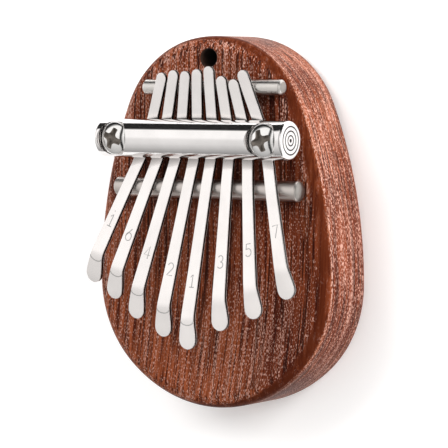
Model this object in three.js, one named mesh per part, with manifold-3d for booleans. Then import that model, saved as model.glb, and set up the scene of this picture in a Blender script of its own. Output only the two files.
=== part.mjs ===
// Pocket mbira (thumb piano): a solid egg-shaped wooden board with eight steel tines.
// Two loose rods lie on the board as bridges. A round pressure bar, held by two
// screws, presses the tines down between the rods, so each tine can be slid to tune it
// and plucked at its free spoon-shaped end.
//
// Millimetres. The board lies on its back: Z = 0 is the back face, +Z points out of the
// playing face, +Y points to the lanyard hole, +X to the right of the player's view.
import * as THREE from "three";
import { mergeVertices } from "three/addons/utils/BufferGeometryUtils.js";
import Module from "manifold-3d";

const wasm = await Module();
wasm.setup();

// Driving dimensions.
const GAP = 0.3;
const BOARD = {
  width: 74,
  thickness: 20,
  edgeDrop: 2.8, // the worn edge starts this far down the side
  edgeInset: 4.6, // and reaches this far in over the face
  // Half outline from the crown to the base, as tangent arcs: [radius, end angle].
  // The flank arc and the base arc close the outline, so their radii are worked out.
  crown: [35, 12.5],
  shoulder: [28.3, 67.5],
  heel: [30.8, 137.5],
};
const LANYARD_HOLE = { y: 43.3, radius: 2.35 };
const UPPER_ROD = { x: 2.8, y: 35.6, radius: 2.0, length: 43.8, chamfer: 0.5 };
const LOWER_ROD = { x: 1.4, y: 9.1, radius: 2.6, length: 58.4, chamfer: 0.6 };
const SLIDE_GAP = 0.5; // over the lower rod, where a strip climbs as it slides to be tuned
const BAR = { x: 1.85, y: 22.2, height: 8.7, radius: 5.05, length: 58.8, edgeRound: 0.9 };
const SCREW = {
  places: [-21.8, 25.05],
  headRadius: 4.25,
  headHeight: 2.6,
  seatHeight: 11.2,
  pocketRadius: 5.1,
  shankRadius: 1.5,
  depth: 12,
  crossLength: 5.8,
  crossWidth: 1.3,
  crossDepth: 1.4,
};
const STRIP = {
  thickness: 1.1,
  rearWidth: 3.1,
  rearTaper: 2,
  barWidth: 3.2,
  bendWidth: 3.9,
  spoonWidth: 5.0,
  rise: 0.24, // height gained per millimetre beyond the lower rod
  spoonLength: 8.1,
};

// Across the bar, left to right: note name, place under the bar, lean from the Y axis
// in degrees, the length behind the bar, the length from the bar to the bend, and how
// far the spoon dips towards the board per millimetre.
const TINES = [
  { name: "high_1", x: -17.4, lean: -20.4, rear: 18.3, front: 32.9, dip: 0.24 },
  { name: "6", x: -12.15, lean: -15.3, rear: 18.5, front: 35.9, dip: 0.19 },
  { name: "4", x: -6.85, lean: -10.3, rear: 17.9, front: 39.9, dip: 0.14 },
  { name: "2", x: -1.5, lean: -4.7, rear: 18.2, front: 43.5, dip: 0.11 },
  { name: "1", x: 3.5, lean: -0.6, rear: 18.9, front: 46.1, dip: 0.03 },
  { name: "3", x: 8.65, lean: 4.6, rear: 16.4, front: 41.0, dip: 0 },
  { name: "5", x: 13.95, lean: 10.8, rear: 15.8, front: 38.1, dip: 0 },
  { name: "7", x: 19.5, lean: 17.6, rear: 18.7, front: 33.8, dip: 0 },
];

// Heights of the middle of a strip above the playing face.
const HALF_STRIP = STRIP.thickness / 2;
const HEIGHT_AT_UPPER_ROD = 2 * UPPER_ROD.radius + 2 * GAP + HALF_STRIP;
const HEIGHT_AT_BAR = BAR.height - BAR.radius - GAP - HALF_STRIP;
const HEIGHT_AT_LOWER_ROD = 2 * LOWER_ROD.radius + GAP + SLIDE_GAP + HALF_STRIP;

function metal(name, color, roughness) {
  return new THREE.MeshStandardMaterial({ name, color, roughness, metalness: 1 });
}

const MATERIALS = {
  mahogany: new THREE.MeshStandardMaterial({
    name: "mahogany", color: "#7a3b23", roughness: 0.55, metalness: 0,
  }),
  chrome: metal("chrome", "#d9d9dc", 0.12),
  satinSteel: metal("satin_steel", "#b9b5b0", 0.35),
  springSteel: metal("spring_steel", "#e4e4e6", 0.16),
};

function toSolid(geometry) {
  const bare = geometry.clone();
  bare.deleteAttribute("normal");
  bare.deleteAttribute("uv");
  const merged = mergeVertices(bare, 1e-5);
  return new wasm.Manifold(new wasm.Mesh({
    numProp: 3,
    vertProperties: new Float32Array(merged.attributes.position.array),
    triVerts: new Uint32Array(merged.index.array),
  }));
}

function toGeometry(solid) {
  const mesh = solid.getMesh();
  const geometry = new THREE.BufferGeometry();
  geometry.setAttribute("position", new THREE.BufferAttribute(mesh.vertProperties, 3));
  geometry.setIndex(new THREE.BufferAttribute(mesh.triVerts, 1));
  geometry.computeVertexNormals();
  return geometry;
}

function makeNode(name, geometry, material) {
  const mesh = new THREE.Mesh(geometry, material);
  mesh.name = name;
  return mesh;
}

// A shape drawn in the XY plane, made thick from one height to another.
function plate(shape, bottom, top, segments = 12) {
  const options = { depth: top - bottom, bevelEnabled: false, curveSegments: segments };
  return new THREE.ExtrudeGeometry(shape, options).translate(0, 0, bottom);
}

// A shape drawn as (Y, Z), made wide along X about the middle plane.
function crossways(shape, width) {
  const geometry = plate(shape, -width / 2, width / 2);
  const toX = new THREE.Vector3(1, 0, 0);
  const toY = new THREE.Vector3(0, 1, 0);
  const toZ = new THREE.Vector3(0, 0, 1);
  return geometry.applyMatrix4(new THREE.Matrix4().makeBasis(toY, toZ, toX));
}

function upright(radius, bottom, top, segments = 32) {
  const shape = new THREE.Shape();
  shape.absarc(0, 0, radius, 0, 2 * Math.PI);
  return plate(shape, bottom, top, segments);
}

// The egg-shaped half outline: five arcs that run on from each other without a corner.
function boardArcs() {
  const { width, crown, shoulder, heel } = BOARD;
  const sin = (degrees) => Math.sin(THREE.MathUtils.degToRad(degrees));
  const upper = crown[0] * sin(crown[1]) + shoulder[0] * (sin(shoulder[1]) - sin(crown[1]));
  const flankRadius = (width / 2 - upper) / (1 - sin(shoulder[1]));
  const baseRadius = (width / 2 - heel[0] * (1 - sin(heel[1]))) / sin(heel[1]);
  return [crown, shoulder, [flankRadius, 90], heel, [baseRadius, 180]];
}

function boardOutline() {
  const half = [new THREE.Vector2(0, 0)];
  let from = 0;
  for (const [radius, endDegrees] of boardArcs()) {
    const to = THREE.MathUtils.degToRad(endDegrees);
    const steps = Math.ceil((radius * (to - from)) / 3);
    const start = half[half.length - 1];
    for (let i = 1; i <= steps; i++) {
      const angle = from + ((to - from) * i) / steps;
      const x = start.x + radius * (Math.sin(angle) - Math.sin(from));
      const y = start.y + radius * (Math.cos(angle) - Math.cos(from));
      half.push(new THREE.Vector2(x, y));
    }
    from = to;
  }
  const height = -half[half.length - 1].y;
  const right = half.map((p) => new THREE.Vector2(p.x, p.y + height / 2));
  const left = right.slice(1, -1).map((p) => new THREE.Vector2(-p.x, p.y)).reverse();
  return new THREE.Shape([...right, ...left]);
}

// Solid board with worn elliptical edges, the lanyard hole and two blind screw holes.
function makeBoard() {
  const geometry = new THREE.ExtrudeGeometry(boardOutline(), {
    depth: BOARD.thickness - 2 * BOARD.edgeDrop,
    bevelThickness: BOARD.edgeDrop,
    bevelSize: BOARD.edgeInset,
    bevelOffset: -BOARD.edgeInset,
    bevelSegments: 6,
  });
  geometry.translate(0, 0, BOARD.edgeDrop);
  const through = upright(LANYARD_HOLE.radius, -1, BOARD.thickness + 1);
  let solid = toSolid(geometry).subtract(toSolid(through.translate(0, LANYARD_HOLE.y, 0)));
  for (const x of SCREW.places) {
    const bottom = BOARD.thickness - SCREW.depth - 2 * GAP;
    const hole = upright(SCREW.shankRadius + GAP, bottom, BOARD.thickness + 1, 24);
    solid = solid.subtract(toSolid(hole.translate(x, BAR.y, 0)));
  }
  return makeNode("soundboard", toGeometry(solid), MATERIALS.mahogany);
}

// A round bar along X. One corner step gives chamfered ends, more steps rounded ones.
function turnedBar(radius, length, corner, cornerSteps, segments) {
  const profile = [new THREE.Vector2(0, -length / 2)];
  for (let i = 0; i <= cornerSteps; i++) {
    const angle = (Math.PI / 2) * (1 - i / cornerSteps);
    const y = -length / 2 + corner * (1 - Math.sin(angle));
    profile.push(new THREE.Vector2(radius - corner + corner * Math.cos(angle), y));
  }
  const mirrored = profile.map((p) => new THREE.Vector2(p.x, -p.y)).reverse();
  const lathe = new THREE.LatheGeometry([...profile, ...mirrored], segments);
  return lathe.rotateZ(-Math.PI / 2);
}

function makeRod(name, rod) {
  const geometry = turnedBar(rod.radius, rod.length, rod.chamfer, 1, 32);
  geometry.translate(rod.x, rod.y, BOARD.thickness + GAP + rod.radius);
  return makeNode(name, geometry, MATERIALS.satinSteel);
}

// The pressure bar: a flat-bottomed pocket from above for each screw head, a little wider
// than the bar, and a plain hole below it.
function makePressureBar() {
  const bar = turnedBar(BAR.radius, BAR.length, BAR.edgeRound, 4, 48);
  bar.translate(BAR.x, BAR.y, BOARD.thickness + BAR.height);
  let solid = toSolid(bar);
  const floor = BOARD.thickness + SCREW.seatHeight - GAP;
  for (const x of SCREW.places) {
    const pocket = upright(SCREW.pocketRadius, floor, floor + 10, 36);
    const hole = upright(SCREW.shankRadius + 0.4, BOARD.thickness, floor + 1, 24);
    solid = solid.subtract(toSolid(pocket.translate(x, BAR.y, 0)));
    solid = solid.subtract(toSolid(hole.translate(x, BAR.y, 0)));
  }
  return makeNode("pressure_bar", toGeometry(solid), MATERIALS.chrome);
}

// Pan head with a cross recess on a plain pointed shank.
function makeScrew(name, x, turnDegrees) {
  const { headRadius, headHeight, shankRadius, depth, seatHeight } = SCREW;
  const rim = headHeight * 0.4;
  const tipZ = -seatHeight - depth;
  const shape = new THREE.Path();
  shape.moveTo(0, tipZ);
  shape.lineTo(shankRadius, tipZ + 3);
  shape.lineTo(shankRadius, 0);
  shape.lineTo(headRadius, 0);
  shape.lineTo(headRadius, rim);
  shape.quadraticCurveTo(headRadius * 0.9, headHeight * 0.97, 0, headHeight);
  const turned = new THREE.LatheGeometry(shape.getPoints(8), 36).rotateX(Math.PI / 2);
  let solid = toSolid(turned);
  for (const angle of [0, 90]) {
    const slot = new THREE.BoxGeometry(SCREW.crossLength, SCREW.crossWidth, 2);
    slot.translate(0, 0, headHeight - SCREW.crossDepth + 1);
    slot.rotateZ(THREE.MathUtils.degToRad(angle + turnDegrees));
    solid = solid.subtract(toSolid(slot));
  }
  const placed = solid.translate([x, BAR.y, BOARD.thickness + seatHeight]);
  return makeNode(name, toGeometry(placed), MATERIALS.chrome);
}

// Plan of one tine in its own frame: +Y runs behind the bar, the spoon is at -Y.
function tinePlan(tine) {
  const rear = STRIP.rearWidth / 2;
  const middle = STRIP.barWidth / 2;
  const bend = STRIP.bendWidth / 2;
  const spoon = STRIP.spoonWidth / 2;
  const shoulder = tine.rear - STRIP.rearTaper;
  const flare = STRIP.spoonLength - spoon;
  const spoonCentre = -tine.front - flare;
  const shape = new THREE.Shape();
  shape.moveTo(rear, shoulder);
  shape.absellipse(0, shoulder, rear, STRIP.rearTaper, 0, Math.PI);
  shape.lineTo(-middle, 0);
  shape.quadraticCurveTo(-middle, -tine.front / 2, -bend, -tine.front);
  shape.bezierCurveTo(
    -bend - 0.15, -tine.front - flare / 3, -spoon, spoonCentre + flare / 3,
    -spoon, spoonCentre,
  );
  shape.absarc(0, spoonCentre, spoon, Math.PI, 2 * Math.PI);
  shape.bezierCurveTo(
    spoon, spoonCentre + flare / 3, bend + 0.15, -tine.front - flare / 3,
    bend, -tine.front,
  );
  shape.quadraticCurveTo(middle, -tine.front / 2, middle, 0);
  shape.closePath();
  return shape;
}

// Places of the two rods along a tine, measured from the bar. A leaning tine crosses the
// rods at a slant, so the distances grow by 1 / cos(lean).
function rodDistances(tine) {
  const stretch = 1 / Math.cos(THREE.MathUtils.degToRad(tine.lean));
  return { upper: (UPPER_ROD.y - BAR.y) * stretch, lower: (LOWER_ROD.y - BAR.y) * stretch };
}

// Side view of the middle of the strip from its rear end, down under the bar and up to
// the lower rod.
function shankLine(tine) {
  const { upper, lower } = rodDistances(tine);
  const rearSlope = 0.12;
  const rearRise = rearSlope * (tine.rear - upper);
  const line = new THREE.Path();
  line.moveTo(tine.rear + 1, HEIGHT_AT_UPPER_ROD + rearRise + rearSlope);
  line.lineTo(upper, HEIGHT_AT_UPPER_ROD);
  line.bezierCurveTo(
    upper * 0.67, HEIGHT_AT_UPPER_ROD - rearSlope * upper * 0.33,
    upper * 0.33, HEIGHT_AT_BAR, 0, HEIGHT_AT_BAR,
  );
  line.bezierCurveTo(
    lower * 0.33, HEIGHT_AT_BAR,
    lower * 0.67, HEIGHT_AT_LOWER_ROD + STRIP.rise * lower * 0.33,
    lower + GAP / 2, HEIGHT_AT_LOWER_ROD - STRIP.rise * (GAP / 2),
  );
  return line;
}

// Beyond the lower rod the tongue rises straight, then the spoon turns level or dips.
function tongueLine(tine) {
  const { lower } = rodDistances(tine);
  const heightAt = (y) => HEIGHT_AT_LOWER_ROD + STRIP.rise * (lower - y);
  const bend = -tine.front;
  const spoonEnd = STRIP.spoonLength + 1;
  const line = new THREE.Path();
  line.moveTo(lower - GAP / 2, heightAt(lower - GAP / 2));
  line.lineTo(bend + 1.5, heightAt(bend + 1.5));
  line.quadraticCurveTo(bend, heightAt(bend), bend - 1.5, heightAt(bend) - 1.5 * tine.dip);
  line.lineTo(bend - spoonEnd, heightAt(bend) - spoonEnd * tine.dip);
  return line;
}

// Thicken a side-view line to the strip's thickness and cut it to the plan outline.
function bentStrip(line, plan) {
  const points = line.getPoints(6);
  const along = new THREE.Vector2();
  const edge = (side) => points.map((p, i) => {
    const before = points[Math.max(i - 1, 0)];
    const after = points[Math.min(i + 1, points.length - 1)];
    along.subVectors(after, before).normalize();
    return new THREE.Vector2(p.x - side * along.y, p.y + side * along.x);
  });
  const outline = [...edge(HALF_STRIP), ...edge(-HALF_STRIP).reverse()];
  const sideView = crossways(new THREE.Shape(outline), 2 * STRIP.spoonWidth);
  return toSolid(sideView).intersect(toSolid(plate(plan, -5, 40, 10)));
}

function makeTine(tine) {
  const plan = tinePlan(tine);
  const lines = { shank: shankLine(tine), tongue: tongueLine(tine) };
  return Object.entries(lines).map(([part, line]) => {
    const geometry = toGeometry(bentStrip(line, plan));
    geometry.rotateZ(THREE.MathUtils.degToRad(tine.lean));
    geometry.translate(tine.x, BAR.y, BOARD.thickness);
    return makeNode(`tine_${tine.name}_${part}`, geometry, MATERIALS.springSteel);
  });
}

const mbira = new THREE.Group();
mbira.name = "mbira";
mbira.add(makeBoard());
mbira.add(makeRod("upper_bridge_rod", UPPER_ROD));
mbira.add(makeRod("lower_bridge_rod", LOWER_ROD));
mbira.add(makePressureBar());
mbira.add(makeScrew("screw_left", SCREW.places[0], -24));
mbira.add(makeScrew("screw_right", SCREW.places[1], 18));
for (const tine of TINES) {
  mbira.add(...makeTine(tine));
}

export default mbira;
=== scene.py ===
"""Looks for the pocket mbira: oiled mahogany, chromed bar and screws, bright spring-steel tines.

Every piece is built in millimetres in the CAD frame: the board lies on its back, +Z points
out of the playing face, +Y to the lanyard hole, +X to the player's right.
"""

import math

import bpy
from mathutils import Matrix, Vector


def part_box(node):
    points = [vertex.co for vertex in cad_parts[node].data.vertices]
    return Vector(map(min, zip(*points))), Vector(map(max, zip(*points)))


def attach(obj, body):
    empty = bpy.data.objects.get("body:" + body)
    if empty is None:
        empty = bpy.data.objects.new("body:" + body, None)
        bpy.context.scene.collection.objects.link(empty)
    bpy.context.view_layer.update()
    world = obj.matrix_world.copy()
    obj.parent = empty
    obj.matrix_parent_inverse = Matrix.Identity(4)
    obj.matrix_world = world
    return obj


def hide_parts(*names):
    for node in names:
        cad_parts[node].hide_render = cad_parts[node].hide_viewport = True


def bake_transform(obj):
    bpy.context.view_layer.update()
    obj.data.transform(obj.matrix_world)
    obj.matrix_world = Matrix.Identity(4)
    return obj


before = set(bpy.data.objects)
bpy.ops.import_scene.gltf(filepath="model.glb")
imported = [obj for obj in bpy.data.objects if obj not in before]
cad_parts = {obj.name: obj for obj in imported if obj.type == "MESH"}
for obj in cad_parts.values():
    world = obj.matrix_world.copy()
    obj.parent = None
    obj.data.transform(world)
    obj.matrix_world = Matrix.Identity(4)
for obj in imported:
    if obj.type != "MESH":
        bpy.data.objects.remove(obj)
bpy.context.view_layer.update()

MM = 0.001

# Camera: turned to the player's right and lifted, in degrees; the rest in millimetres.
CAMERA_TURN, CAMERA_LIFT = 34.5, 3.36
CAMERA_AIM = (4.0, -0.3)
CAMERA_DISTANCE = 651
CAMERA_LENS = 199

# Board outline: tangent arcs from crown to base as (radius, end angle in degrees).
BOARD_WIDTH = 74
CROWN = (35, 12.5)
SHOULDER = (28.3, 67.5)
HEEL = (30.8, 137.5)
EDGE_DROP, EDGE_INSET = 2.8, 4.6
LANYARD_HOLE_Y = 43.3
LANYARD_HOLE_RADIUS = 2.35

# Inner radii of the grooves turned in the bar's ends.
BAR_GROOVES = (1.1, 2.25, 3.4)

# Bent steel strips. They climb by REAR_SLOPE behind the upper rod and by RISE in front
# of the lower one, in millimetres per millimetre.
STRIP_THICKNESS = 1.1
STRIP_EDGE, STRIP_BURR = 0.15, 0.24  # roundings of the upper and the lower edge
REAR_WIDTH, BAR_WIDTH, BEND_WIDTH, SPOON_WIDTH = 3.1, 3.2, 3.9, 5.0
REAR_TAPER = 1.6
REAR_SLOPE = 0.12
RISE = 0.24
SPOON_LENGTH = 8.1
DIGIT_HEIGHT = 3.2
DIGIT_FROM_BEND = 9.4
DIGIT_LINE = 0.26

# Screws: head over its seat in the bar's pocket, and the cross recess in the head. The
# head is a dome of a ball, then a steeper rim; both are given in head radii.
HEAD_HEIGHT = 2.6
DOME_RADIUS, DOME_BALL = 0.76, 1.55
SHANK_RADIUS, SHANK_HOLE_RADIUS = 1.5, 1.8
POCKET_RADIUS = 4.7
CROSS_REACH = 3.15
CROSS_HALF_WIDTH = 0.84
CROSS_FILLET = 0.8

# Name, place under the bar, lean in degrees, length behind the bar, length from the bar
# to the bend, dip of the spoon per millimetre.
TINES = [
    ("high_1", -17.4, -20.4, 18.3, 32.9, 0.24),
    ("6", -12.15, -15.3, 18.5, 35.9, 0.19),
    ("4", -6.85, -10.3, 17.9, 39.9, 0.14),
    ("2", -1.5, -4.7, 18.2, 43.5, 0.11),
    ("1", 3.5, -0.6, 18.9, 46.1, 0.03),
    ("3", 8.65, 4.6, 16.4, 41.0, 0),
    ("5", 13.95, 10.8, 15.8, 38.1, 0),
    ("7", 19.5, 17.6, 18.7, 33.8, 0),
]


# ---------------------------------------------------------------- places from the CAD

def box_mm(node):
    low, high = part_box(node)
    return low / MM, high / MM


def centre_mm(node):
    low, high = box_mm(node)
    return (low + high) / 2


def size_mm(node):
    low, high = box_mm(node)
    return high - low


FACE_Z = box_mm("soundboard")[1].z
BAR_CENTRE = centre_mm("pressure_bar")
BAR_RADIUS = size_mm("pressure_bar").y / 2
UPPER_ROD_Y = centre_mm("upper_bridge_rod").y
UPPER_ROD_RADIUS = size_mm("upper_bridge_rod").y / 2
LOWER_ROD_Y = centre_mm("lower_bridge_rod").y
LOWER_ROD_RADIUS = size_mm("lower_bridge_rod").y / 2


# ---------------------------------------------------------------- camera, light, floor

def make_camera():
    """Long lens on the playing face, from the player's right and a little above."""
    turn, lift = math.radians(CAMERA_TURN), math.radians(CAMERA_LIFT)
    forward = Vector((
        -math.sin(turn) * math.cos(lift), -math.sin(lift), -math.cos(turn) * math.cos(lift),
    ))
    right = Vector((math.cos(turn), 0, -math.sin(turn)))
    up = right.cross(forward)
    target = Vector((0, 0, FACE_Z)) + CAMERA_AIM[0] * right + CAMERA_AIM[1] * up
    camera = bpy.data.objects.new("camera", bpy.data.cameras.new("camera"))
    camera.data.lens = CAMERA_LENS
    camera.data.clip_end = 10
    rotation = Matrix((right, up, -forward)).transposed().to_4x4()
    camera.matrix_world = Matrix.Translation((target - CAMERA_DISTANCE * forward) * MM) @ rotation
    bpy.context.scene.collection.objects.link(camera)
    bpy.context.scene.camera = camera


def add_area_light(name, place, size, power):
    """A square soft box aimed at the mbira, which no surface mirrors."""
    light = bpy.data.objects.new(name, bpy.data.lights.new(name, "AREA"))
    light.data.size = size
    light.data.energy = power
    light.location = place
    light.rotation_euler = (-Vector(place)).to_track_quat("-Z", "Y").to_euler()
    light.visible_glossy = False
    bpy.context.scene.collection.objects.link(light)


def fill_ramp(node, stops, tint=(1, 1, 1)):
    """Give a colour ramp node its stops, as (position, brightness)."""
    elements = node.color_ramp.elements
    for position, level in stops[1:-1]:
        elements.new(position)
    for element, (position, level) in zip(elements, stops):
        element.position = position
        element.color = (*(level * part for part in tint), 1)


def make_world():
    """Studio dome that changes with the angle around X, like long soft boxes along X.

    White from overhead to high beyond the crown, dark at the horizon there, and a grey
    fall-off towards the base. Two dark stripes to the player's right edge the screw heads.
    """
    world = bpy.data.worlds.new("studio")
    world.use_nodes = True
    tree = world.node_tree
    background = tree.nodes["Background"]
    background.inputs["Strength"].default_value = 1.12

    direction = tree.nodes.new("ShaderNodeTexCoord").outputs["Generated"]
    split = tree.nodes.new("ShaderNodeSeparateXYZ")
    tree.links.new(direction, split.inputs["Vector"])
    angle = tree.nodes.new("ShaderNodeMath")
    angle.operation = "ARCTAN2"
    tree.links.new(split.outputs["Y"], angle.inputs[0])
    tree.links.new(split.outputs["Z"], angle.inputs[1])
    turn = tree.nodes.new("ShaderNodeMapRange")
    turn.inputs["From Min"].default_value = -math.pi / 2
    turn.inputs["From Max"].default_value = math.pi / 2
    tree.links.new(angle.outputs["Value"], turn.inputs["Value"])

    fade = tree.nodes.new("ShaderNodeValToRGB")
    by_degrees = [(-88, 0.30), (-31, 0.70), (-4, 0.80), (12, 1.0), (53, 1.0), (58, 0.30),
                  (64, 0.02), (90, 0.015)]
    stops = [((degrees + 90) / 180, level) for degrees, level in by_degrees]
    fill_ramp(fade, stops, tint=(1, 0.985, 0.97))
    tree.links.new(turn.outputs["Result"], fade.inputs["Fac"])

    dim = tree.nodes.new("ShaderNodeValToRGB")
    fill_ramp(dim, [(0.10, 1.0), (0.16, 0.04), (0.28, 0.04), (0.36, 1.0),
                    (0.47, 1.0), (0.51, 0.04), (0.62, 0.04), (0.68, 1.0)])
    tree.links.new(split.outputs["X"], dim.inputs["Fac"])
    scale = tree.nodes.new("ShaderNodeVectorMath")
    scale.operation = "SCALE"
    tree.links.new(fade.outputs["Color"], scale.inputs[0])
    tree.links.new(dim.outputs["Color"], scale.inputs["Scale"])
    tree.links.new(scale.outputs["Vector"], background.inputs["Color"])
    bpy.context.scene.world = world


def make_floor():
    mesh = bpy.data.meshes.new("floor")
    reach = 3.0
    corners = [(-reach, -reach, 0), (reach, -reach, 0), (reach, reach, 0), (-reach, reach, 0)]
    mesh.from_pydata(corners, [], [(0, 1, 2, 3)])
    floor = bpy.data.objects.new("floor", mesh)
    floor.data.materials.append(make_floor_material())
    bpy.context.scene.collection.objects.link(floor)


def make_flag():
    """Black card beyond the crown that only mirrors see: the dark band along the bar."""
    mesh = bpy.data.meshes.new("black_flag")
    corners = [(-0.4, 0.145, 0), (0.4, 0.145, 0), (0.4, 0.145, 0.08), (-0.4, 0.145, 0.08)]
    mesh.from_pydata(corners, [], [(0, 1, 2, 3)])
    flag = bpy.data.objects.new("black_flag", mesh)
    shader = Shader("black_card")
    shader.set(Base_Color=rgb(0.01, 0.01, 0.01), Roughness=0.9)
    mesh.materials.append(shader.material)
    flag.visible_camera = False
    flag.visible_diffuse = False
    flag.visible_shadow = False
    bpy.context.scene.collection.objects.link(flag)


# ---------------------------------------------------------------- material helpers

class Shader:
    """A material's node tree with short calls for the nodes used here."""

    def __init__(self, name):
        self.material = bpy.data.materials.new(name)
        self.material.use_nodes = True
        self.tree = self.material.node_tree
        self.bsdf = self.tree.nodes["Principled BSDF"]
        self.coords = self.tree.nodes.new("ShaderNodeTexCoord")

    def node(self, kind, **settings):
        node = self.tree.nodes.new(kind)
        for key, value in settings.items():
            setattr(node, key, value)
        return node

    def put(self, value, socket):
        """Link an output to the socket, or set the socket's own value."""
        if isinstance(value, bpy.types.NodeSocket):
            self.tree.links.new(value, socket)
        else:
            socket.default_value = value

    def stretched(self, x, y, z):
        """Object coordinates scaled so that one unit is one feature."""
        node = self.node("ShaderNodeMapping")
        node.inputs["Scale"].default_value = (x, y, z)
        self.tree.links.new(self.coords.outputs["Object"], node.inputs["Vector"])
        return node.outputs["Vector"]

    def swept(self, x, y, z, squeeze=1.0):
        """As stretched, for grain that runs along Y and sweeps to -X near the base.

        Squeezing X turns the grain into layers that run round the board.
        """
        split = self.node("ShaderNodeSeparateXYZ")
        self.put(self.coords.outputs["Object"], split.inputs["Vector"])
        below = self.math("MINIMUM", split.outputs["Y"], 0.0)
        sweep = self.product(below, below, 2.1)
        join = self.node("ShaderNodeCombineXYZ")
        across = self.math("ADD", split.outputs["X"], sweep)
        self.put(self.math("MULTIPLY", across, squeeze), join.inputs["X"])
        self.put(split.outputs["Y"], join.inputs["Y"])
        self.put(split.outputs["Z"], join.inputs["Z"])
        node = self.node("ShaderNodeMapping")
        node.inputs["Scale"].default_value = (x, y, z)
        self.put(join.outputs["Vector"], node.inputs["Vector"])
        return node.outputs["Vector"]

    def axis(self, letter):
        """One object coordinate in metres."""
        split = self.node("ShaderNodeSeparateXYZ")
        self.put(self.coords.outputs["Object"], split.inputs["Vector"])
        return split.outputs[letter]

    def band(self, value, low, low_full, high_full, high):
        """1 between the two middle values, fading to 0 at the outer two."""
        rise = self.remap(value, low, low_full)
        return self.math("MULTIPLY", rise, self.remap(value, high_full, high, 1.0, 0.0))

    def noise(self, vector, scale=1.0, detail=2.0, roughness=0.5, distortion=0.0):
        node = self.node("ShaderNodeTexNoise")
        self.put(vector, node.inputs["Vector"])
        node.inputs["Scale"].default_value = scale
        node.inputs["Detail"].default_value = detail
        node.inputs["Roughness"].default_value = roughness
        node.inputs["Distortion"].default_value = distortion
        return node.outputs["Fac"]

    def remap(self, value, low, high, to_low=0.0, to_high=1.0):
        node = self.node("ShaderNodeMapRange", clamp=True)
        self.put(value, node.inputs["Value"])
        node.inputs["From Min"].default_value = low
        node.inputs["From Max"].default_value = high
        node.inputs["To Min"].default_value = to_low
        node.inputs["To Max"].default_value = to_high
        return node.outputs["Result"]

    def math(self, operation, a, b=0.0):
        node = self.node("ShaderNodeMath", operation=operation)
        self.put(a, node.inputs[0])
        self.put(b, node.inputs[1])
        return node.outputs["Value"]

    def product(self, first, *others):
        """All the values multiplied together."""
        for other in others:
            first = self.math("MULTIPLY", first, other)
        return first

    def mix(self, factor, a, b, blend="MIX"):
        node = self.node("ShaderNodeMix", data_type="RGBA", blend_type=blend)
        for value, index in ((factor, 0), (a, 6), (b, 7)):
            self.put(value, node.inputs[index])
        return node.outputs[2]

    def bump(self, height, distance, strength=1.0):
        node = self.node("ShaderNodeBump")
        self.put(height, node.inputs["Height"])
        node.inputs["Distance"].default_value = distance
        node.inputs["Strength"].default_value = strength
        self.put(node.outputs["Normal"], self.bsdf.inputs["Normal"])

    def set(self, **values):
        for key, value in values.items():
            self.put(value, self.bsdf.inputs[key.replace("_", " ")])


def rgb(red, green, blue):
    return (red, green, blue, 1.0)


# ---------------------------------------------------------------- materials

def make_floor_material():
    shader = Shader("pale_floor")
    shader.set(Base_Color=rgb(0.93, 0.93, 0.93), Roughness=0.8)
    shader.set(Emission_Color=rgb(1, 1, 1), Emission_Strength=0.16)
    return shader.material


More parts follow.
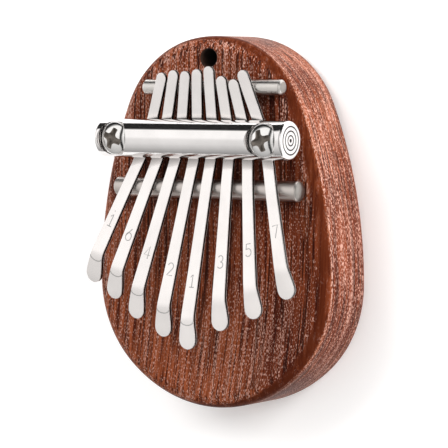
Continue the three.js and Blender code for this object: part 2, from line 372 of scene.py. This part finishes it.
def make_wood_material():
    """Open-pored mahogany with its grain along Y, and in layers round the sides.

    The rounded edge of the playing face is smooth and painted dark as painted shade, most of
    all at the player's right, with a painted glint below it. Heights and places here are in
    metres.
    """
    shader = Shader("mahogany")
    depth = shader.math("SUBTRACT", FACE_Z * MM, shader.axis("Z"))
    side_starts = (0.0019, 0.0020)
    squeeze = shader.remap(depth, *side_starts, 1.0, 0.04)
    broad = shader.noise(shader.swept(110, 9, 110), detail=3, distortion=0.5)
    fibres = shader.noise(shader.swept(1700, 50, 1700, squeeze), detail=2, roughness=0.6)
    threads = shader.noise(shader.swept(880, 14, 880, squeeze), detail=1)
    breaks = shader.noise(shader.swept(800, 90, 800), detail=1)
    flecks = shader.noise(shader.swept(4000, 1300, 4000), detail=1)
    streaks = shader.noise(shader.swept(700, 25, 700, squeeze), detail=2)

    # Painted shade in a band on the rounded edge, and a painted glint below it.
    begin = shader.remap(shader.axis("X"), -0.014, 0.026, 0.0015, 0.00008)
    end = shader.remap(shader.axis("X"), 0.010, 0.024, 0.0032, 0.0017)
    edge_shade = shader.remap(shader.math("SUBTRACT", depth, begin), 0.0, 0.00025)
    above = shader.remap(shader.math("SUBTRACT", depth, end), -0.0002, 0.0002, 1.0, 0.0)
    edge_shade_breakup = shader.remap(breaks, 0.42, 0.62, 1.0, 0.65)
    edge_shade = shader.product(edge_shade, above, edge_shade_breakup)
    outside_edge_shade = shader.math("SUBTRACT", 1.0, shader.product(edge_shade, 0.93))
    edge_glint = shader.product(
        shader.band(depth, 0.0016, 0.0019, 0.0021, 0.0027),
        shader.remap(shader.axis("X"), 0.0, 0.03), shader.remap(breaks, 0.45, 0.6, 0.1, 0.6))

    # Painted light: lighter to the left and to the crown. Also lighter in the lower left corner.
    corner = shader.math("ADD", shader.axis("X"), shader.axis("Y"))
    lighter = shader.math("SUBTRACT", broad, shader.product(shader.axis("X"), 2.4))
    lighter = shader.math("ADD", lighter, shader.axis("Y"))
    lighter = shader.math("ADD", lighter, shader.remap(corner, -0.055, -0.015, 0.17, 0.0))
    colour = shader.mix(shader.remap(lighter, 0.35, 0.63), rgb(0.120, 0.023, 0.008),
                        rgb(0.270, 0.066, 0.024))
    dark_fibre = shader.remap(fibres, 0.38, 0.55, 0.92, 0.0)
    colour = shader.mix(dark_fibre, colour, rgb(0.040, 0.005, 0.002))
    # Painted glint, orange, just below the shaded band.
    colour = shader.mix(edge_glint, colour, rgb(0.36, 0.12, 0.055))

    # Pale flecks gather in streaks, and are fewer in the middle of the face. They are partly
    # the wood's pale pores, partly painted glints.
    near = shader.product(shader.remap(streaks, 0.45, 0.62), 0.10)
    near = shader.math("ADD", near, shader.remap(broad, 0.40, 0.60, 0.0, 0.05))
    near = shader.math("ADD", near, shader.remap(corner, -0.055, -0.015, -0.05, 0.0))
    calm = shader.product(
        shader.band(shader.axis("Y"), -0.032, -0.014, 0.015, 0.030),
        shader.remap(shader.axis("X"), -0.03, -0.01),
        shader.remap(depth, *side_starts, 0.045, -0.01))
    near = shader.math("SUBTRACT", near, calm)
    fleck = shader.remap(shader.math("ADD", flecks, near), 0.60, 0.69)
    colour = shader.mix(shader.product(fleck, 0.9, outside_edge_shade), colour, rgb(0.50, 0.285, 0.225))

    # Pores are thin dark lines, broken along their length.
    ridge = shader.math("ABSOLUTE", shader.math("SUBTRACT", threads, 0.5))
    pore = shader.product(
        shader.remap(ridge, 0.02, 0.06, 1.0, 0.0), shader.remap(breaks, 0.40, 0.50),
        shader.remap(corner, -0.050, -0.015, 0.4, 1.0),
        shader.remap(depth, *side_starts, 1.0, 0.7), 0.92, outside_edge_shade)
    colour = shader.mix(pore, colour, rgb(0.018, 0.003, 0.0015))
    # Painted shade on the rounded edge of the playing face.
    colour = shader.mix(shader.product(edge_shade, 0.85), colour, rgb(0.062, 0.011, 0.003))
    shader.set(Base_Color=colour, Roughness=shader.remap(broad, 0.3, 0.7, 0.38, 0.5))
    shader.set(Specular_IOR_Level=0.05)
    grain = shader.math("SUBTRACT", shader.product(fibres, 0.5), pore)
    shader.bump(shader.product(grain, outside_edge_shade), distance=0.0001, strength=0.6)
    return shader.material


def make_char_and_shade_material():
    """Wall of the drilled lanyard hole, burnt by the drill and painted near black as painted
    shade.
    """
    shader = Shader("charred_wood")
    soot = shader.noise(shader.stretched(900, 900, 200), detail=3)
    colour = shader.mix(soot, rgb(0.004, 0.003, 0.002), rgb(0.03, 0.012, 0.007))
    shader.set(Base_Color=colour, Roughness=0.85)
    return shader.material


# Plated and bare steels: tint, smoothest and roughest, stretch of the brushed scratches
# as features per metre, and their depth in metres.
METALS = {
    "chrome": (rgb(0.90, 0.88, 0.875), 0.05, 0.10, (300, 2500, 2500), 0.000004),
    "spring_steel": (rgb(0.92, 0.885, 0.87), 0.10, 0.17, (2500, 250, 2500), 0.000004),
    "satin_steel": (rgb(0.72, 0.69, 0.66), 0.24, 0.38, (250, 2500, 2500), 0.00001),
    # A darker copy of satin steel, for the lower rod: painted shade.
    "dull_satin_steel": (rgb(0.62, 0.57, 0.54), 0.28, 0.42, (250, 2500, 2500), 0.00001),
    "screw_steel": (rgb(0.88, 0.87, 0.86), 0.07, 0.14, (1200, 1200, 1200), 0.000006),
    "cut_steel": (rgb(0.36, 0.34, 0.32), 0.30, 0.50, (1500, 1500, 1500), 0.00003),
}


def make_metal_material(name):
    """Steel with fine brushing and faint stains, from the table of metals."""
    tint, smooth, rough, brush, depth = METALS[name]
    shader = Shader(name)
    scratches = shader.noise(shader.stretched(*brush), detail=3, roughness=0.6)
    stains = shader.noise(shader.stretched(120, 120, 120), detail=3)
    shade = shader.remap(stains, 0.35, 0.7, 1.0, 0.92)
    colour = shader.mix(1.0, tint, shade, blend="MULTIPLY")
    shader.set(Base_Color=colour, Metallic=1.0)
    shader.set(Roughness=shader.remap(scratches, 0.3, 0.7, smooth, rough))
    shader.bump(scratches, distance=depth, strength=0.5)
    return shader.material


def make_edge_material():
    """Sheared sides of the strips, duller than the polished faces, and painted dark as painted
    shade: the dark wood that they would mirror.
    """
    shader = Shader("sheared_edge")
    marks = shader.noise(shader.stretched(900, 900, 5000), detail=3)
    colour = shader.mix(marks, rgb(0.025, 0.024, 0.023), rgb(0.12, 0.115, 0.11))
    shader.set(Base_Color=colour, Metallic=1.0, Roughness=0.32)
    return shader.material


def make_edge_highlight_material():
    """Burr along the lower edge of the strips, made lighter as a painted highlight."""
    shader = Shader("bright_burr")
    marks = shader.noise(shader.stretched(1500, 1500, 1500), detail=2)
    colour = shader.mix(marks, rgb(0.62, 0.60, 0.58), rgb(0.85, 0.83, 0.81))
    shader.set(Base_Color=colour, Metallic=0.5, Roughness=0.42)
    return shader.material


def make_recess_material():
    """Unpolished floor of the screws' cross recesses, darker and brownish."""
    shader = Shader("recess_steel")
    dirt = shader.noise(shader.stretched(1500, 1500, 1500), detail=3)
    colour = shader.mix(dirt, rgb(0.10, 0.085, 0.07), rgb(0.24, 0.21, 0.185))
    shader.set(Base_Color=colour, Metallic=0.4, Roughness=0.6)
    return shader.material


def make_engraving_material():
    """Matt grey of the engraved note numbers."""
    shader = Shader("engraved_line")
    grit = shader.noise(shader.stretched(4000, 4000, 4000), detail=1)
    shader.set(Base_Color=shader.mix(grit, rgb(0.33, 0.32, 0.31), rgb(0.50, 0.49, 0.48)))
    shader.set(Metallic=0.5, Roughness=0.6)
    return shader.material


# ---------------------------------------------------------------- mesh helpers

def make_piece(name, vertices, faces, materials, face_materials=None):
    """A closed mesh from millimetre vertices, smooth except at sharp edges."""
    mesh = bpy.data.meshes.new(name)
    mesh.from_pydata([Vector(v) * MM for v in vertices], [], faces)
    for material in materials:
        mesh.materials.append(material)
    if face_materials:
        mesh.polygons.foreach_set("material_index", face_materials)
    finish_mesh(mesh)
    piece = bpy.data.objects.new(name, mesh)
    bpy.context.scene.collection.objects.link(piece)
    return piece


def finish_mesh(mesh):
    mesh.validate()
    mesh.shade_smooth()
    mesh.set_sharp_from_angle(angle=math.radians(32))


def ring_faces(rings, closed_start=True, closed_end=True):
    """Quads between rings of equal length, and one polygon over each end."""
    count = len(rings[0])
    faces = []
    for lower, upper in zip(rings, rings[1:]):
        for i in range(count):
            j = (i + 1) % count
            faces.append((lower[i], lower[j], upper[j], upper[i]))
    if closed_start:
        faces.append(tuple(reversed(rings[0])))
    if closed_end:
        faces.append(tuple(rings[-1]))
    return faces


def turned_mesh(profile, segments):
    """Vertices and faces of a profile of (radius, height) turned about Z, low end first."""
    vertices, rings = [], []
    for radius, height in profile:
        rings.append(range(len(vertices), len(vertices) + segments))
        for i in range(segments):
            angle = 2 * math.pi * i / segments
            vertices.append((radius * math.cos(angle), radius * math.sin(angle), height))
    return vertices, ring_faces(rings)


def turned_kinds(profile, segments, uses_second_metal):
    """Material numbers of a turned mesh: 1 where uses_second_metal(start, end), and on its caps.

    The start and end are neighbouring (radius, height) points of the profile.
    """
    kinds = []
    for start, end in zip(profile, profile[1:]):
        kinds += segments * [1 if uses_second_metal(start, end) else 0]
    return kinds + [1, 1]


def place(vertices, matrix):
    return [matrix @ Vector(v) for v in vertices]


def cut(piece, cutter):
    """Subtract the cutter, whose faces keep their own material."""
    modifier = piece.modifiers.new("cut", "BOOLEAN")
    modifier.operation = "DIFFERENCE"
    modifier.solver = "EXACT"
    modifier.material_mode = "TRANSFER"
    modifier.object = cutter
    depsgraph = bpy.context.evaluated_depsgraph_get()
    mesh = bpy.data.meshes.new_from_object(piece.evaluated_get(depsgraph))
    piece.modifiers.clear()
    piece.data = mesh
    finish_mesh(mesh)
    bpy.data.objects.remove(cutter)


def quarter_arc(radius, steps):
    """(inset, height) pairs of a rounded edge, from the flat face to the side."""
    angles = [math.pi / 2 * i / steps for i in range(steps + 1)]
    return [(radius * (1 - math.sin(a)), radius * math.cos(a)) for a in angles]


# ---------------------------------------------------------------- board

def board_outline(step):
    """Points of the egg with their outward normals, going round once."""
    def sine(degrees):
        return math.sin(math.radians(degrees))

    half = BOARD_WIDTH / 2
    upper = CROWN[0] * sine(CROWN[1]) + SHOULDER[0] * (sine(SHOULDER[1]) - sine(CROWN[1]))
    flank = (half - upper) / (1 - sine(SHOULDER[1]))
    base = (half - HEEL[0] * (1 - sine(HEEL[1]))) / sine(HEEL[1])
    points, start, x, y = [], 0.0, 0.0, 0.0
    for radius, end in (CROWN, SHOULDER, (flank, 90), HEEL, (base, 180)):
        end = math.radians(end)
        count = math.ceil(radius * (end - start) / step)
        for i in range(count):
            angle = start + (end - start) * i / count
            px = x + radius * (math.sin(angle) - math.sin(start))
            py = y + radius * (math.cos(angle) - math.cos(start))
            points.append((px, py, angle))
        x += radius * (math.sin(end) - math.sin(start))
        y += radius * (math.cos(end) - math.cos(start))
        start = end
    points.append((0.0, y, math.pi))
    right = [(px, py - y / 2, math.sin(a), math.cos(a)) for px, py, a in points]
    left = [(-px, py, -nx, ny) for px, py, nx, ny in reversed(right[1:-1])]
    return list(reversed(right + left))


def make_board(wood, char_and_shade):
    outline = board_outline(step=0.8)
    edge = [(EDGE_INSET * inset, EDGE_DROP * height) for inset, height in quarter_arc(1, 14)]
    levels = [(inset, EDGE_DROP - height) for inset, height in edge]
    levels += [(inset, FACE_Z - EDGE_DROP + height) for inset, height in reversed(edge)]
    vertices, rings = [], []
    for inset, z in levels:
        rings.append(range(len(vertices), len(vertices) + len(outline)))
        vertices += [(x - inset * nx, y - inset * ny, z) for x, y, nx, ny in outline]
    board = make_piece("mahogany_board", vertices, ring_faces(rings), [wood])

    r = LANYARD_HOLE_RADIUS
    profile = [(r + 1.2, -0.8), (r, 0.35), (r, FACE_Z - 0.35), (r + 1.2, FACE_Z + 0.8)]
    hole_vertices, hole_faces = turned_mesh(profile, 64)
    hole_vertices = place(hole_vertices, Matrix.Translation((0, LANYARD_HOLE_Y, 0)))
    cut(board, make_piece("hole_cutter", hole_vertices, hole_faces, [char_and_shade]))
    return board


# ---------------------------------------------------------------- rods and bar

def along_x(centre):
    """Turns a Z-axis part to lie along X at a place."""
    return Matrix.Translation(centre) @ Matrix.Rotation(math.pi / 2, 4, "Y")


def make_rod(name, node, right_end, left_end, metals):
    """A cut length of rod resting on the board; each end is a list of (radius, depth).

    The first metal is for the sides and chamfers, the second for the cut faces.
    """
    low, high = box_mm(node)
    radius = (high.y - low.y) / 2
    half = (high.x - low.x) / 2
    profile = [(r, -half + depth) for r, depth in left_end(radius)]
    profile += [(r, half - depth) for r, depth in reversed(right_end(radius))]
    vertices, faces = turned_mesh(profile, 72)
    kinds = turned_kinds(profile, 72, lambda a, b: max(a[0], b[0]) < 0.94 * radius)
    centre = Vector(((low.x + high.x) / 2, (low.y + high.y) / 2, FACE_Z + radius))
    return make_piece(name, place(vertices, along_x(centre)), faces, metals, kinds)


def chamfered_end(radius):
    return [(0.05, 0.0), (radius - 0.75, 0.02), (radius - 0.55, 0.08), (radius - 0.08, 0.5),
            (radius, 0.62)]


def sheared_end(radius):
    """A cropped end: domed and a little spread by the shear."""
    dome = [(radius * math.sin(a), 0.9 * (1 - math.cos(a))) for a in (0.02, 0.3, 0.6, 0.9, 1.2)]
    return dome + [(radius * 1.03, 0.85), (radius * 1.04, 1.2), (radius, 2.0)]


def bar_end():
    """Turned end face as (radius, depth): centre dimple, grooves, then the rounded edge."""
    face = [(0.05, 0.5), (0.5, 0.0)]
    for r in BAR_GROOVES:
        face += [(r, 0.0), (r + 0.18, 0.25), (r + 0.36, 0.0)]
    edge = 0.8
    rim = [(BAR_RADIUS - inset, edge - height) for inset, height in quarter_arc(edge, 7)]
    return face + rim


def make_bar(chrome, groove_shade, screw_places):
    low, high = box_mm("pressure_bar")
    half = (high.x - low.x) / 2
    profile = [(r, -half + depth) for r, depth in bar_end()]
    profile += [(r, half - depth) for r, depth in reversed(bar_end())]
    inner = BAR_GROOVES[-1] + 0.5
    vertices, faces = turned_mesh(profile, 128)
    # The walls of the grooves and of the dimple take the dark edge metal: painted shade.
    kinds = turned_kinds(profile, 128, lambda a, b: a[1] != b[1] and max(a[0], b[0]) < inner)
    vertices = place(vertices, along_x(BAR_CENTRE))
    bar = make_piece("chrome_bar", vertices, faces, [chrome, groove_shade], kinds)
    seat = box_mm("screw_left")[1].z - HEAD_HEIGHT
    r = POCKET_RADIUS
    for x in screw_places:
        pocket = [(0.05, seat), (r - 0.3, seat), (r, seat + 0.3), (r, seat + 9)]
        shank_hole = [(SHANK_HOLE_RADIUS, FACE_Z), (SHANK_HOLE_RADIUS, seat + 1)]
        for profile in (pocket, shank_hole):
            vertices, faces = turned_mesh(profile, 96)
            vertices = place(vertices, Matrix.Translation((x, BAR_CENTRE.y, 0)))
            cut(bar, make_piece("bar_cutter", vertices, faces, [chrome]))
    return bar


# ---------------------------------------------------------------- screws

def cross_outline():
    """Cross recess seen from above: four blunt arms with rounded inner corners."""
    reach, half, fillet = CROSS_REACH, CROSS_HALF_WIDTH, CROSS_FILLET
    corner = half + fillet
    arm = [(reach, -half), (reach + 0.15, 0), (reach, half)]
    arm += arc_points(corner, corner, fillet, fillet, 270, 180, count=8)
    return [Matrix.Rotation(math.pi / 2 * quarter, 4, "Z") @ Vector((x, y, 0))
            for quarter in range(4) for x, y in arm]


def cross_cutter(turn, top):
    """The tip of a cross-head driver: the recess outline, narrowing downwards."""
    outline = cross_outline()
    spin = Matrix.Rotation(turn, 4, "Z")
    vertices, rings = [], []
    for z, scale in ((top - 1.7, 0.2), (top - 1.4, 0.66), (top - 0.2, 1.0), (top + 0.8, 1.12)):
        rings.append(range(len(vertices), len(vertices) + len(outline)))
        vertices += [spin @ (scale * point) + Vector((0, 0, z)) for point in outline]
    return vertices, ring_faces(rings)


def make_screw(name, node, turn_degrees, chrome, recess_metal):
    low, high = box_mm(node)
    radius = (high.x - low.x) / 2
    centre = Matrix.Translation(((low.x + high.x) / 2, (low.y + high.y) / 2, 0))
    seat = high.z - HEAD_HEIGHT
    profile = [(0.05, low.z), (SHANK_RADIUS, low.z + 3), (SHANK_RADIUS, seat),
               (radius - 0.2, seat), (radius, seat + 0.2)]
    dome, ball = DOME_RADIUS * radius, DOME_BALL * radius
    dome_z = high.z - ball + math.sqrt(ball ** 2 - dome ** 2)
    slope = dome / math.sqrt(ball ** 2 - dome ** 2)
    corner_z = dome_z - slope * (radius - dome)
    for i in range(9):
        t = i / 8
        profile.append((bezier2(t, radius, radius, dome),
                        bezier2(t, seat + 0.9, corner_z, dome_z)))
    for i in range(1, 10):
        r = dome * (1 - i / 10)
        profile.append((r, high.z - ball + math.sqrt(ball ** 2 - r ** 2)))
    profile.append((0.05, high.z))
    vertices, faces = turned_mesh(profile, 96)
    screw = make_piece(name, place(vertices, centre), faces, [chrome])
    vertices, faces = cross_cutter(math.radians(turn_degrees), high.z)
    cut(screw, make_piece("cross_cutter", place(vertices, centre), faces, [recess_metal]))
    return screw


# ---------------------------------------------------------------- tines

class Tine:
    """One bent strip in its own frame: +Y runs behind the bar, X across, Z from the board."""

    def __init__(self, name, x, lean, rear, front, dip):
        self.name = name
        self.rear, self.front, self.dip = rear, front, dip
        # Half the length of the bend, which is sharper where the spoon is pressed down.
        self.bend_reach = 1.2 if dip > 0.02 else 1.8
        stretch = 1 / math.cos(math.radians(lean))
        self.upper = (UPPER_ROD_Y - BAR_CENTRE.y) * stretch
        self.lower = (LOWER_ROD_Y - BAR_CENTRE.y) * stretch
        half = STRIP_THICKNESS / 2
        self.at_upper = resting_height(UPPER_ROD_RADIUS, REAR_SLOPE)
        self.at_bar = BAR_CENTRE.z - FACE_Z - BAR_RADIUS - half
        self.at_lower = resting_height(LOWER_ROD_RADIUS, RISE)
        turn = Matrix.Rotation(math.radians(lean), 4, "Z")
        self.matrix = Matrix.Translation((x, BAR_CENTRE.y, FACE_Z)) @ turn

    def height(self, y):
        """Height of the strip's middle line over the board."""
        if y > self.upper:
            return self.at_upper + REAR_SLOPE * (y - self.upper)
        if y > 0:
            t = y / self.upper
            near = self.at_upper - REAR_SLOPE * self.upper / 3
            return bezier(t, self.at_bar, self.at_bar, near, self.at_upper)
        if y > self.lower:
            t = y / self.lower
            near = self.at_lower + RISE * self.lower / 3
            return bezier(t, self.at_bar, self.at_bar, near, self.at_lower)
        bend = self.at_lower + RISE * (self.lower + self.front)
        past = -self.front - y
        reach = self.bend_reach
        if past < -reach:
            return self.at_lower + RISE * (self.lower - y)
        if past > reach:
            return bend - self.dip * past
        t = (past + reach) / (2 * reach)
        return bezier2(t, bend - reach * RISE, bend, bend - reach * self.dip)

    def surface(self, x, y, lift):
        """Point over plan position (x, y), lifted from the middle line along its normal."""
        slope = (self.height(y + 0.05) - self.height(y - 0.05)) / 0.1
        normal = Vector((0, -slope, 1)).normalized()
        return Vector((x, y, self.height(y))) + lift * normal

    def outline(self):
        """Right-hand edge from the rear tip to the spoon's tip, as (x, y)."""
        rear, bend, spoon = REAR_WIDTH / 2, BEND_WIDTH / 2, SPOON_WIDTH / 2
        shoulder = self.rear - REAR_TAPER
        spoon_centre = -self.front - SPOON_LENGTH + spoon
        quarter = [math.pi / 2 * i / 12 for i in range(13)]
        points = [(rear * math.sin(a), shoulder + REAR_TAPER * math.cos(a)) for a in quarter]
        points += line((rear, shoulder), (BAR_WIDTH / 2, 0), 18)
        for i in range(1, 65):
            t = i / 64
            points.append((BAR_WIDTH / 2 + t * t * (bend - BAR_WIDTH / 2), -t * self.front))
        for i in range(1, 17):
            t = i / 16
            x = bezier(t, bend, bend + 0.15, spoon, spoon)
            points.append((x, -self.front + t * (spoon_centre + self.front)))
        quarter = [math.pi / 2 * i / 16 for i in range(1, 17)]
        points += [(spoon * math.cos(a), spoon_centre - spoon * math.sin(a)) for a in quarter]
        return points


def resting_height(rod_radius, slope):
    """Height, straight above a rod, of the middle of a strip that slopes across it."""
    return rod_radius + (rod_radius + STRIP_THICKNESS / 2) * math.hypot(1, slope)


def bezier(t, a, b, c, d):
    s = 1 - t
    return s ** 3 * a + 3 * s * s * t * b + 3 * s * t * t * c + t ** 3 * d


def bezier2(t, a, b, c):
    return (1 - t) ** 2 * a + 2 * t * (1 - t) * b + t * t * c


def line(start, end, count):
    """Evenly spaced points after start, up to and including end."""
    steps = [i / count for i in range(1, count + 1)]
    return [tuple(a + (b - a) * t for a, b in zip(start, end)) for t in steps]


def outward(points, i):
    """Unit normal of a line of points, to the right of a line that runs down -Y."""
    (x0, y0), (x1, y1) = points[max(i - 1, 0)], points[min(i + 1, len(points) - 1)]
    length = math.hypot(x1 - x0, y1 - y0)
    return ((y0 - y1) / length, (x1 - x0) / length)


def strip_mesh(tine):
    """The strip with rounded edges. Faces are 0 polished, 1 side, cut by shearing and dark with
    painted shade, or 2 lower burr, light with a painted highlight.

    Each edge point carries a column of points down the side; mirrored columns are joined
    across the strip.
    """
    points = tine.outline()
    half = STRIP_THICKNESS / 2
    steps = 5
    levels = [(inset, half - STRIP_EDGE + height)
              for inset, height in quarter_arc(STRIP_EDGE, steps)]
    levels += [(inset, STRIP_BURR - height - half)
               for inset, height in reversed(quarter_arc(STRIP_BURR, steps))]
    vertices, index = [], {}
    for i, (x, y) in enumerate(points):
        tip = {0: (0.0, 1.0), len(points) - 1: (0.0, -1.0)}
        nx, ny = tip.get(i) or outward(points, i)
        for k, (inset, z) in enumerate(levels):
            edge_x, edge_y = x - inset * nx, y - inset * ny
            for side in (1, -1):
                if side == -1 and i in (0, len(points) - 1):
                    index[i, k, side] = index[i, k, 1]
                    continue
                index[i, k, side] = len(vertices)
                vertices.append(tine.surface(side * edge_x, edge_y, z))
    faces, kinds = [], []
    last = len(levels) - 1

    def add(kind, *corners):
        faces.append(tuple(dict.fromkeys(index[corner] for corner in corners)))
        kinds.append(kind)

    for i in range(len(points) - 1):
        j = i + 1
        for k in range(last):
            kind = 0 if k < steps else min(k - steps + 1, 2)
            add(kind, (i, k, 1), (i, k + 1, 1), (j, k + 1, 1), (j, k, 1))
            add(kind, (i, k, -1), (j, k, -1), (j, k + 1, -1), (i, k + 1, -1))
        add(0, (i, 0, 1), (j, 0, 1), (j, 0, -1), (i, 0, -1))
        add(0, (i, last, 1), (i, last, -1), (j, last, -1), (j, last, 1))
    return vertices, faces, kinds


def arc_points(cx, cy, rx, ry, start, end, count=14):
    angles = [math.radians(start + (end - start) * i / count) for i in range(count + 1)]
    return [(cx + rx * math.cos(a), cy + ry * math.sin(a)) for a in angles]


def digit_strokes(digit):
    """Centre lines of a plain engraved digit in a box 0.6 wide and 1 high."""
    return {
        "1": [[(0.12, 0.78), (0.32, 1.0), (0.32, 0.0)], [(0.1, 0.0), (0.54, 0.0)]],
        "2": [arc_points(0.3, 0.72, 0.26, 0.28, 165, -35) + [(0.05, 0.0), (0.58, 0.0)]],
        "3": [arc_points(0.28, 0.75, 0.24, 0.25, 150, -90)
              + arc_points(0.28, 0.25, 0.27, 0.25, 90, -150)[1:]],
        "4": [[(0.42, 0.0), (0.42, 1.0), (0.02, 0.3), (0.58, 0.3)]],
        "5": [[(0.52, 1.0), (0.12, 1.0), (0.08, 0.56)]
              + arc_points(0.28, 0.31, 0.28, 0.31, 120, -150)],
        "6": [[(0.46, 1.0)] + arc_points(0.32, 0.32, 0.28, 0.32, 165, 525, 24)],
        "7": [[(0.04, 1.0), (0.56, 1.0), (0.22, 0.0)]],
    }[digit]


def stroke_mesh(tine, strokes):
    """Thin engraved lines of even width that follow the strip's upper face."""
    low, high = STRIP_THICKNESS / 2 - 0.1, STRIP_THICKNESS / 2 + 0.03
    vertices, faces = [], []
    for stroke in strokes:
        rings = []
        for i, (x, y) in enumerate(stroke):
            nx, ny = outward(stroke, i)
            rings.append(range(len(vertices), len(vertices) + 4))
            for side, lift in ((1, low), (-1, low), (-1, high), (1, high)):
                across = side * DIGIT_LINE / 2
                vertices.append(tine.surface(x + across * nx, y + across * ny, lift))
        faces += ring_faces(rings)
    return vertices, faces


def note_strokes(tine):
    """The note number, and for the high octave a dot above it, in the tine's frame."""
    digit = tine.name.split("_")[-1]
    centre = -tine.front + DIGIT_FROM_BEND
    h = DIGIT_HEIGHT
    strokes = [[((x - 0.3) * h, centre + (y - 0.5) * h) for x, y in stroke]
               for stroke in digit_strokes(digit)]
    if tine.name.startswith("high"):
        strokes.append([(-0.15, centre + 0.8 * h), (0.15, centre + 0.8 * h)])
    return strokes


def press_mark(tine):
    """The curved line left by the tool that pressed the dipped spoons down."""
    if tine.dip == 0:
        return []
    half = BEND_WIDTH / 2 - 0.1
    return [arc_points(0, -tine.front - 0.9, half, 0.9, 180, 360, 16)]


def make_tine(tine, strip_metals, engraving):
    vertices, faces, kinds = strip_mesh(tine)
    strokes = note_strokes(tine) + press_mark(tine)
    more_vertices, more_faces = stroke_mesh(tine, strokes)
    faces += [tuple(len(vertices) + i for i in face) for face in more_faces]
    kinds += [len(strip_metals)] * len(more_faces)
    vertices = place(vertices + more_vertices, tine.matrix)
    metals = [*strip_metals, engraving]
    piece = make_piece(f"tine_{tine.name}", vertices, faces, metals, kinds)
    shank, tongue = f"tine_{tine.name}_shank", f"tine_{tine.name}_tongue"
    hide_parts(shank, tongue)
    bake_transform(piece)
    return piece


# ---------------------------------------------------------------- assembly

def hold(piece, slot, *nodes):
    """The piece stands for these nodes and moves with the board."""
    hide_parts(*nodes)
    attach(piece, "board")


def main():
    bpy.context.scene.view_settings.view_transform = "Standard"
    make_camera()
    make_world()
    add_area_light("key", place=(-0.30, 0.42, 0.52), size=0.4, power=2.8)
    add_area_light("right_side", place=(1.2, 0.65, 0.28), size=0.6, power=31.0)
    make_floor()
    make_flag()

    hold(make_board(make_wood_material(), make_char_and_shade_material()), "mahogany", "soundboard")
    metals = {name: make_metal_material(name) for name in METALS}
    sheared_and_shaded = make_edge_material()
    for name, metal, right_end in (("upper", "satin_steel", chamfered_end),
                                   ("lower", "dull_satin_steel", sheared_end)):
        node = f"{name}_bridge_rod"
        rod_metals = [metals[metal], metals["cut_steel"]]
        rod = make_rod(f"{name}_rod", node, right_end, chamfered_end, rod_metals)
        hold(rod, "satin_steel", node)
    places = [centre_mm(node).x for node in ("screw_left", "screw_right")]
    hold(make_bar(metals["chrome"], sheared_and_shaded, places), "chrome", "pressure_bar")
    recess_metal = make_recess_material()
    for side, turn in (("left", -24), ("right", 18)):
        node = f"screw_{side}"
        screw = make_screw(f"cross_{node}", node, turn, metals["screw_steel"], recess_metal)
        hold(screw, "screw_steel", node)

    strip_metals = [metals["spring_steel"], sheared_and_shaded, make_edge_highlight_material()]
    engraving = make_engraving_material()
    for numbers in TINES:
        make_tine(Tine(*numbers), strip_metals, engraving)


main()
